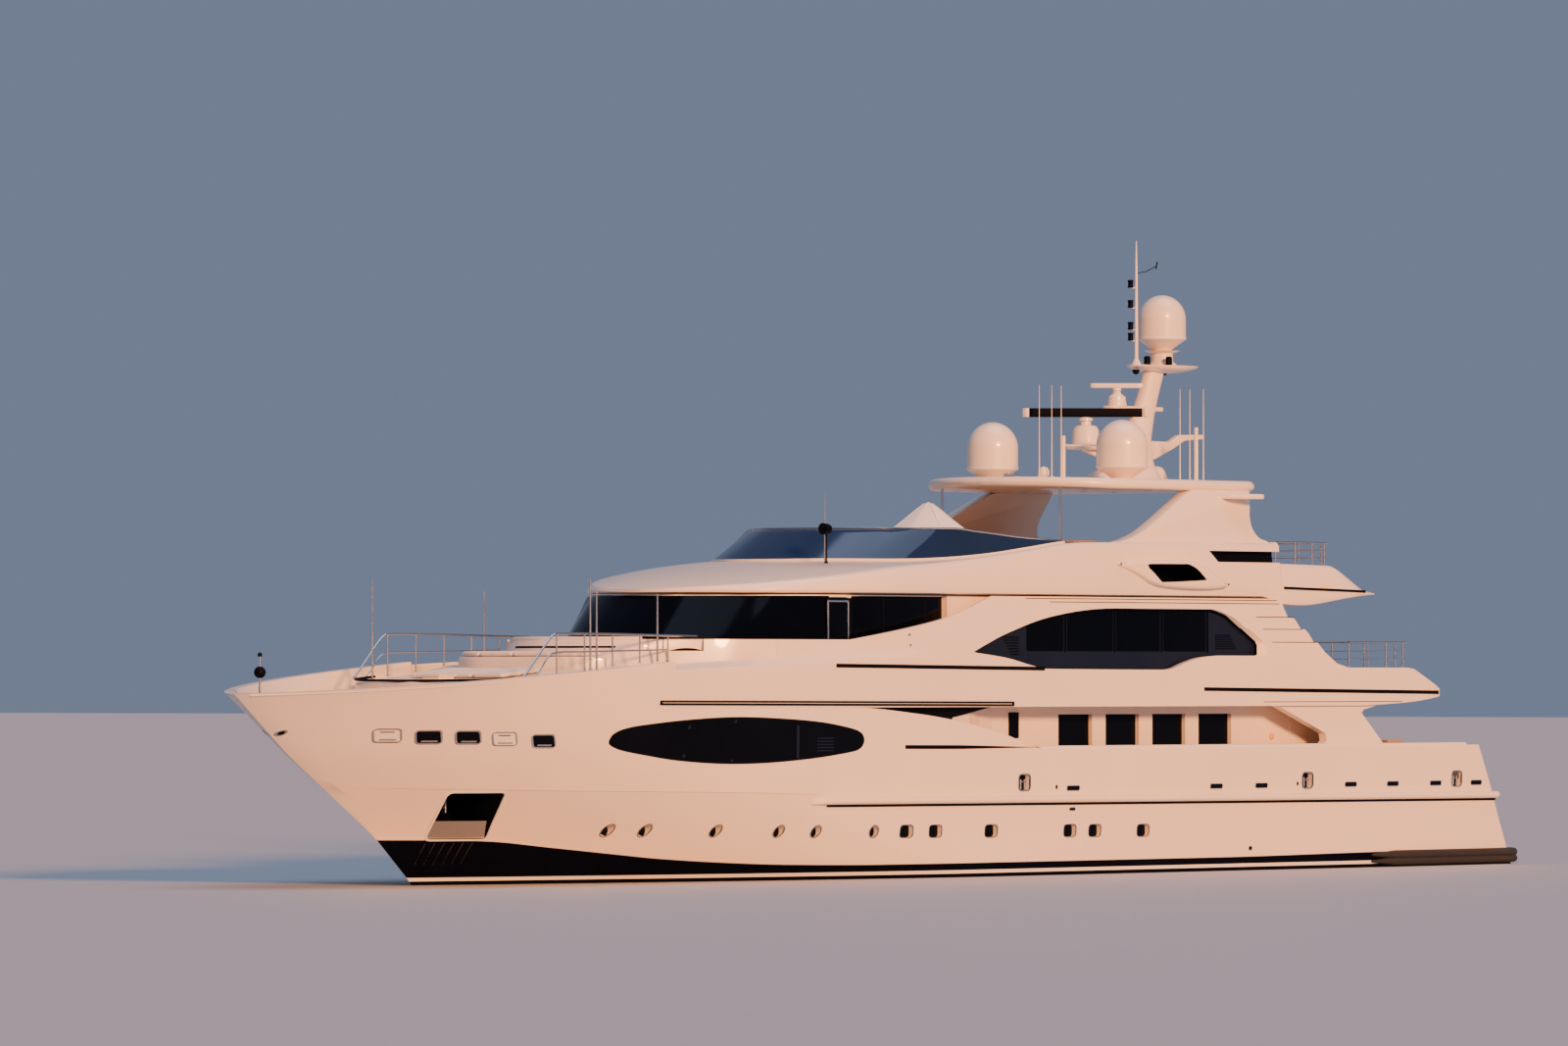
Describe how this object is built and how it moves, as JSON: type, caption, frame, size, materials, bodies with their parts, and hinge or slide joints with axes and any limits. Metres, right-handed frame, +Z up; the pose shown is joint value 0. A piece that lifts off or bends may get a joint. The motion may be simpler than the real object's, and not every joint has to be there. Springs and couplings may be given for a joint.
{
  "type": "motor yacht, 1:2 scale model",
  "caption": "Raised-bridge motor yacht with a raked bow, arched side windows, sundeck, radar arch, domed mast, shaft propellers, spade rudders and stabiliser fins.",
  "frame": {"origin": "on the centreline, amidships, at the waterline", "axes": "+X to the bow, +Y to port, +Z up"},
  "size_m": [25.081, 4.6326, 9.9114],
  "materials": {
    "paint": "gloss cream white",
    "deck": "oiled teak",
    "glass": "dark tint",
    "screen": "blue tint",
    "steel": "polished stainless",
    "bronze": "polished bronze",
    "rubber": "matt black",
    "cover": "white canvas",
    "fabric": "cream outdoor fabric",
    "dark": "satin black"
  },
  "bodies": {
    "ship": {"hull": "paint", "rub_strake_port": "paint", "rub_strake_starboard": "paint", "swim_platform": "deck", "platform_fender": "rubber", "main_deck_house": "paint", "saloon_glass_port": "glass", "saloon_glass_starboard": "glass", "fashion_plate_port": "paint", "fashion_plate_starboard": "paint", "upper_deck": "paint", "bridge_bulwark": "paint", "sky_lounge": "paint", "sky_lounge_glass_port": "glass", "sky_lounge_glass_starboard": "glass", "bridge_house": "paint", "bridge_glass": "glass", "sundeck": "paint", "sundeck_windscreen": "screen", "arch_fin_port": "paint", "arch_fin_starboard": "paint", "hardtop": "paint", "satellite_dome_port": "paint", "satellite_dome_starboard": "paint", "mast": "paint", "mast_dome": "paint", "aerial_mast": "paint", "upper_aft_rail": "steel", "sundeck_rail": "steel", "jackstaff": "dark", "foredeck_trunk": "paint", "lounge_cushion": "fabric", "sunpad": "fabric", "foredeck_rail_port": "steel", "foredeck_rail_starboard": "steel", "windlass_port": "steel", "windlass_starboard": "steel", "anchor_starboard": "steel", "spa_cover": "cover", "shaft_line_port": "steel", "shaft_line_starboard": "steel"},
    "transom_door": {"transom_door": "paint"},
    "saloon_door_port": {"saloon_door_port": "glass"},
    "saloon_door_starboard": {"saloon_door_starboard": "glass"},
    "sky_lounge_door_port": {"sky_lounge_door_port": "glass"},
    "sky_lounge_door_starboard": {"sky_lounge_door_starboard": "glass"},
    "bridge_door_port": {"bridge_door_port": "glass"},
    "bridge_door_starboard": {"bridge_door_starboard": "glass"},
    "hatch_lid": {"hatch_lid": "paint"},
    "searchlight": {"searchlight": "dark"},
    "lower_scanner": {"lower_scanner": "dark"},
    "upper_scanner": {"upper_scanner": "paint"},
    "propeller_port": {"propeller_port": "bronze"},
    "propeller_starboard": {"propeller_starboard": "bronze"},
    "rudder_port": {"rudder_port": "paint"},
    "rudder_starboard": {"rudder_starboard": "paint"},
    "stabiliser_port": {"stabiliser_port": "paint"},
    "stabiliser_starboard": {"stabiliser_starboard": "paint"}
  },
  "joints": [
    {"name": "transom_door_hinge", "type": "hinge", "parent": "ship", "child": "transom_door", "pos_m": [-11.7619, 0, 1.075], "axis": [0, 1, 0], "range_deg": [0, 80]},
    {"name": "saloon_door_port_slide", "type": "slide", "parent": "ship", "child": "saloon_door_port", "axis": [0, 1, 0], "range_m": [0, 0.575]},
    {"name": "saloon_door_starboard_slide", "type": "slide", "parent": "ship", "child": "saloon_door_starboard", "axis": [0, -1, 0], "range_m": [0, 0.575]},
    {"name": "sky_lounge_door_port_slide", "type": "slide", "parent": "ship", "child": "sky_lounge_door_port", "axis": [0, 1, 0], "range_m": [0, 0.575]},
    {"name": "sky_lounge_door_starboard_slide", "type": "slide", "parent": "ship", "child": "sky_lounge_door_starboard", "axis": [0, -1, 0], "range_m": [0, 0.575]},
    {"name": "bridge_door_port_slide", "type": "slide", "parent": "ship", "child": "bridge_door_port", "axis": [-1, 0, 0], "range_m": [0, 0.5]},
    {"name": "bridge_door_starboard_slide", "type": "slide", "parent": "ship", "child": "bridge_door_starboard", "axis": [-1, 0, 0], "range_m": [0, 0.5]},
    {"name": "hatch_lid_hinge", "type": "hinge", "parent": "ship", "child": "hatch_lid", "pos_m": [8.275, 0, 2.62705], "axis": [0, -1, 0], "range_deg": [0, 90]},
    {"name": "searchlight_pan", "type": "hinge", "parent": "ship", "child": "searchlight", "pos_m": [2.2, 1.3, 4.2], "axis": [0, 0, 1], "range_deg": [-170, 170]},
    {"name": "lower_scanner_spin", "type": "hinge", "parent": "ship", "child": "lower_scanner", "pos_m": [-5.15, 0, 6.1], "axis": [0, 0, 1], "continuous": true},
    {"name": "upper_scanner_spin", "type": "hinge", "parent": "ship", "child": "upper_scanner", "pos_m": [-5.86, 0, 6.54], "axis": [0, 0, 1], "continuous": true},
    {"name": "propeller_port_spin", "type": "hinge", "parent": "ship", "child": "propeller_port", "pos_m": [-9.3, 0.875, -0.92], "axis": [1, 0, 0], "continuous": true},
    {"name": "propeller_starboard_spin", "type": "hinge", "parent": "ship", "child": "propeller_starboard", "pos_m": [-9.3, -0.875, -0.92], "axis": [-1, 0, 0], "continuous": true},
    {"name": "rudder_port_steer", "type": "hinge", "parent": "ship", "child": "rudder_port", "pos_m": [-10.3, 0.875, -0.8], "axis": [0, 0, 1], "range_deg": [-35, 35]},
    {"name": "rudder_starboard_steer", "type": "hinge", "parent": "ship", "child": "rudder_starboard", "pos_m": [-10.3, -0.875, -0.8], "axis": [0, 0, 1], "range_deg": [-35, 35]},
    {"name": "stabiliser_port_tilt", "type": "hinge", "parent": "ship", "child": "stabiliser_port", "pos_m": [0.5, 1.79, -0.81], "axis": [0, 0.8191, -0.5736], "range_deg": [-20, 20]},
    {"name": "stabiliser_starboard_tilt", "type": "hinge", "parent": "ship", "child": "stabiliser_starboard", "pos_m": [0.5, -1.79, -0.81], "axis": [0, -0.8191, -0.5736], "range_deg": [-20, 20]}
  ],
  "couplings": [
    {"joint": "saloon_door_starboard_slide", "follows": "saloon_door_port_slide", "ratio": 1},
    {"joint": "sky_lounge_door_starboard_slide", "follows": "sky_lounge_door_port_slide", "ratio": 1},
    {"joint": "rudder_starboard_steer", "follows": "rudder_port_steer", "ratio": 1}
  ]
}
